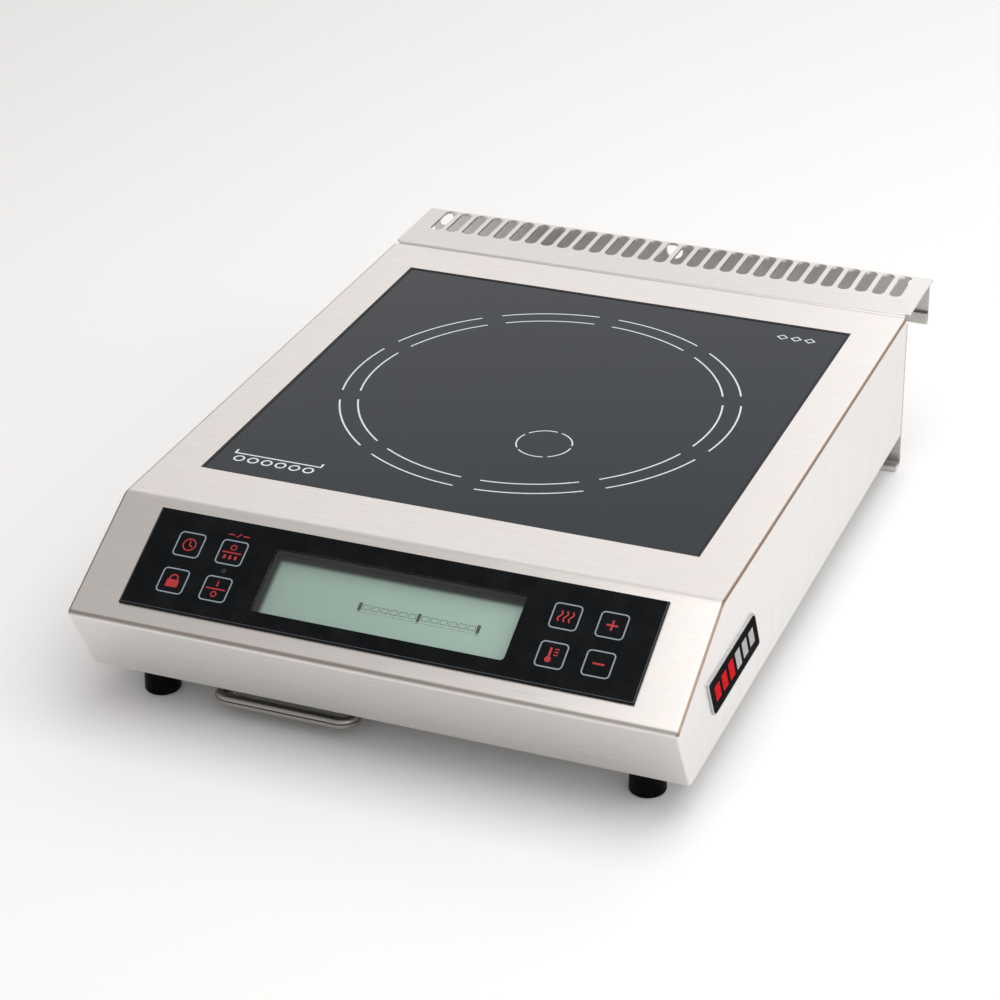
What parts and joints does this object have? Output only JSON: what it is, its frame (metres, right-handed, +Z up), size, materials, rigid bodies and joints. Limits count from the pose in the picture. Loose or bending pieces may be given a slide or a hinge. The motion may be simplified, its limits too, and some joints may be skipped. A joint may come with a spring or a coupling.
{
  "type": "countertop induction hob",
  "caption": "Countertop induction hob: square glass top, sloped key panel with a display, slotted steam hood behind and a pull-out intake filter below.",
  "frame": {"origin": "on the worktop under the middle of the overall footprint", "axes": "+X to the user's right, +Y away from the user towards the steam hood, +Z up"},
  "size_m": [0.341, 0.491, 0.102],
  "materials": {
    "stainless_cover": "satin stainless sheet, brushed along X on the faces and upright on the sides",
    "stainless_back": "satin stainless sheet, brushed along X",
    "zinc_steel": "bright zinc-plated steel",
    "black_glass": "polished black glass-ceramic with a light print on its face",
    "sealant": "smooth black silicone",
    "rubber_foot": "matt black rubber",
    "panel_black": "gloss black, printed on the back",
    "key_black": "gloss black with a light outline and a red symbol",
    "clear_window": "clear polished sheet",
    "display_green": "grey-green reflective display",
    "shroud_grey": "fine-textured dark grey",
    "led_grey": "diffuse light pipe, unlit",
    "badge_black": "domed gloss plate with a silver rim",
    "black_plastic": "fine-textured black",
    "filter_steel": "rolled stainless frame",
    "filter_mesh": "layered knitted mesh",
    "circuit_board": "green solder mask",
    "aluminium": "plain extruded or rolled",
    "copper_winding": "varnished stranded copper",
    "ferrite": "matt dark grey sintered ferrite",
    "mica": "pressed mica sheet",
    "component_grey": "moulded component case",
    "cream_plastic": "moulded terminal and ribbon plastic",
    "brass_stud": "turned brass"
  },
  "bodies": {
    "hob": {"back_panel": "stainless_back", "back_screws": "zinc_steel", "base_plate": "stainless_back", "base_screws": "zinc_steel", "board_standoffs": "brass_stud", "bonding_nuts": "brass_stud", "bonding_stud": "brass_stud", "coil_carrier": "black_plastic", "coil_leads": "copper_winding", "coil_plate": "aluminium", "coil_posts": "zinc_steel", "coil_springs": "zinc_steel", "coil_winding": "copper_winding", "control_panel": "panel_black", "cord_gland": "black_plastic", "cover": "stainless_cover", "display_board": "circuit_board", "display_glass": "display_green", "display_ribbon": "cream_plastic", "display_shroud": "shroud_grey", "display_window": "clear_window", "fan_frame": "black_plastic", "fan_screws": "zinc_steel", "ferrite_bars": "ferrite", "film_capacitors": "component_grey", "filter_choke": "copper_winding", "filter_rails": "stainless_back", "foot_back_left": "rubber_foot", "foot_back_right": "rubber_foot", "foot_front_left": "rubber_foot", "foot_front_right": "rubber_foot", "foot_screws": "zinc_steel", "gland_nut": "black_plastic", "glass_plate": "black_glass", "glass_seal": "sealant", "glass_sensor": "zinc_steel", "glass_support": "zinc_steel", "heatsink": "aluminium", "key_switches": "black_plastic", "mica_sheet": "mica", "power_board": "circuit_board", "power_devices": "black_plastic", "power_led": "led_grey", "side_badge": "badge_black", "standby_transformer": "component_grey", "terminal_block": "cream_plastic"},
    "fan": {"fan_rotor": "black_plastic"},
    "filter": {"filter_frame": "filter_steel", "filter_mesh": "filter_mesh"},
    "key_heat": {"key_heat": "key_black"},
    "key_lock": {"key_lock": "key_black"},
    "key_minus": {"key_minus": "key_black"},
    "key_minutes": {"key_minutes": "key_black"},
    "key_plus": {"key_plus": "key_black"},
    "key_power": {"key_power": "key_black"},
    "key_temperature": {"key_temperature": "key_black"},
    "key_timer": {"key_timer": "key_black"}
  },
  "joints": [
    {"name": "fan_spin", "type": "hinge", "parent": "hob", "child": "fan", "pos_m": [-0.06, -0.1695, 0.025], "axis": [0, 0, 1], "continuous": true},
    {"name": "filter_pull", "type": "slide", "parent": "hob", "child": "filter", "axis": [0, -1, 0], "range_m": [0, 0.09]},
    {"name": "key_heat_press", "type": "slide", "parent": "hob", "child": "key_heat", "axis": [0, 0.4722, -0.8815], "range_m": [0, 0.0003], "stiffness_N_per_m": 3000, "springref_m": -0.0002},
    {"name": "key_lock_press", "type": "slide", "parent": "hob", "child": "key_lock", "axis": [0, 0.4722, -0.8815], "range_m": [0, 0.0003], "stiffness_N_per_m": 3000, "springref_m": -0.0002},
    {"name": "key_minus_press", "type": "slide", "parent": "hob", "child": "key_minus", "axis": [0, 0.4722, -0.8815], "range_m": [0, 0.0003], "stiffness_N_per_m": 3000, "springref_m": -0.0002},
    {"name": "key_minutes_press", "type": "slide", "parent": "hob", "child": "key_minutes", "axis": [0, 0.4722, -0.8815], "range_m": [0, 0.0003], "stiffness_N_per_m": 3000, "springref_m": -0.0002},
    {"name": "key_plus_press", "type": "slide", "parent": "hob", "child": "key_plus", "axis": [0, 0.4722, -0.8815], "range_m": [0, 0.0003], "stiffness_N_per_m": 3000, "springref_m": -0.0002},
    {"name": "key_power_press", "type": "slide", "parent": "hob", "child": "key_power", "axis": [0, 0.4722, -0.8815], "range_m": [0, 0.0003], "stiffness_N_per_m": 3000, "springref_m": -0.0002},
    {"name": "key_temperature_press", "type": "slide", "parent": "hob", "child": "key_temperature", "axis": [0, 0.4722, -0.8815], "range_m": [0, 0.0003], "stiffness_N_per_m": 3000, "springref_m": -0.0002},
    {"name": "key_timer_press", "type": "slide", "parent": "hob", "child": "key_timer", "axis": [0, 0.4722, -0.8815], "range_m": [0, 0.0003], "stiffness_N_per_m": 3000, "springref_m": -0.0002}
  ]
}
